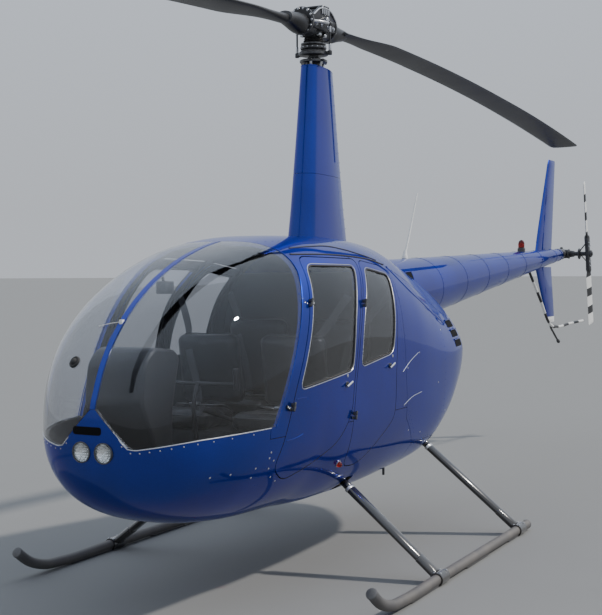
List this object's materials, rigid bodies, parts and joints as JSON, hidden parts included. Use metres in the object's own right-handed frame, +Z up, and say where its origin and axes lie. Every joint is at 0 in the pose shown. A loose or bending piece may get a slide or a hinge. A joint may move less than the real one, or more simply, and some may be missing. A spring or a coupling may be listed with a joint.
{
  "type": "four-seat light helicopter",
  "caption": "Light helicopter on skids, with a teetering main rotor on a tall mast, a tail rotor on a slender cone, hinged cabin doors and a glazed cabin with seats.",
  "frame": {"origin": "on the ground, at the middle of the machine's length and width over everything, main rotor included", "axes": "+X to the nose, +Y to the port side, +Z up"},
  "size_m": [11.1802, 2.198, 3.335],
  "materials": {
    "blue_paint": "deep metallic blue under clear coat",
    "black_paint": "satin charcoal paint",
    "white_paint": "gloss white paint",
    "skid_metal": "worn grey tube",
    "engine_metal": "cast, dull",
    "lamp_metal": "bright lamp bezel",
    "cabin_grey": "dark grey trim and carpet",
    "seat_leather": "dark leather",
    "tinted_glass": "smoke tinted acrylic",
    "red_lens": "clear red lens",
    "green_lens": "clear green lens"
  },
  "bodies": {
    "airframe": {"aft_roof_cowl": "blue_paint", "beacon": "red_lens", "belly_aft_panel": "blue_paint", "cabin_floor": "cabin_grey", "collective_left": "black_paint", "collective_right": "black_paint", "cooling_fan": "engine_metal", "cyclic_stick": "black_paint", "engine_block": "engine_metal", "gear_bow_front": "black_paint", "gear_bow_rear": "black_paint", "horizontal_stabilizer": "blue_paint", "instrument_console": "black_paint", "landing_lights": "lamp_metal", "lower_fin": "blue_paint", "lower_fuselage": "blue_paint", "mast_fairing": "blue_paint", "mast_tube": "black_paint", "nav_light_left": "red_lens", "nav_light_right": "green_lens", "seat_front_left": "seat_leather", "seat_front_right": "seat_leather", "seat_rear_left": "seat_leather", "seat_rear_right": "seat_leather", "side_cowl_left": "blue_paint", "side_cowl_right": "blue_paint", "skid_left": "skid_metal", "skid_right": "skid_metal", "tail_cone": "blue_paint", "tail_end_cowl": "blue_paint", "tail_gearbox": "black_paint", "tail_guard": "white_paint", "tail_skid": "black_paint", "upper_fin": "blue_paint", "upper_frame": "blue_paint", "whip_antenna": "white_paint", "windshield_left": "tinted_glass", "windshield_right": "tinted_glass", "windshield_strip": "blue_paint"},
    "main_rotor": {"rotor_head": "black_paint", "main_blade_aft": "black_paint", "main_blade_fore": "black_paint"},
    "tail_rotor": {"tail_rotor_hub": "black_paint", "tail_blade_upper": "black_paint", "tail_blade_lower": "black_paint"},
    "door_front_left_leaf": {"door_front_left": "blue_paint", "door_glass_front_left": "tinted_glass"},
    "door_front_right_leaf": {"door_front_right": "blue_paint", "door_glass_front_right": "tinted_glass"},
    "door_rear_left_leaf": {"door_rear_left": "blue_paint", "door_glass_rear_left": "tinted_glass"},
    "door_rear_right_leaf": {"door_rear_right": "blue_paint", "door_glass_rear_right": "tinted_glass"}
  },
  "joints": [
    {"name": "main_rotor_spin", "type": "hinge", "parent": "airframe", "child": "main_rotor", "pos_m": [0.56136, 0, 3.235], "axis": [0, 0, 1], "continuous": true},
    {"name": "tail_rotor_spin", "type": "hinge", "parent": "airframe", "child": "tail_rotor", "pos_m": [-5.32264, 0.268, 1.875], "axis": [0, 1, 0], "continuous": true},
    {"name": "door_front_left_hinge", "type": "hinge", "parent": "airframe", "child": "door_front_left_leaf", "pos_m": [1.82336, 0.59315, 1.556], "axis": [0.4636, 0.0615, -0.8839], "range_deg": [0, 80]},
    {"name": "door_front_right_hinge", "type": "hinge", "parent": "airframe", "child": "door_front_right_leaf", "pos_m": [1.82336, -0.59315, 1.556], "axis": [-0.4636, 0.0615, 0.8839], "range_deg": [0, 80]},
    {"name": "door_rear_left_hinge", "type": "hinge", "parent": "airframe", "child": "door_rear_left_leaf", "pos_m": [1.20636, 0.62756, 1.54], "axis": [0.3079, 0.0415, -0.9505], "range_deg": [0, 80]},
    {"name": "door_rear_right_hinge", "type": "hinge", "parent": "airframe", "child": "door_rear_right_leaf", "pos_m": [1.20636, -0.62756, 1.54], "axis": [-0.3079, 0.0415, 0.9505], "range_deg": [0, 80]}
  ]
}
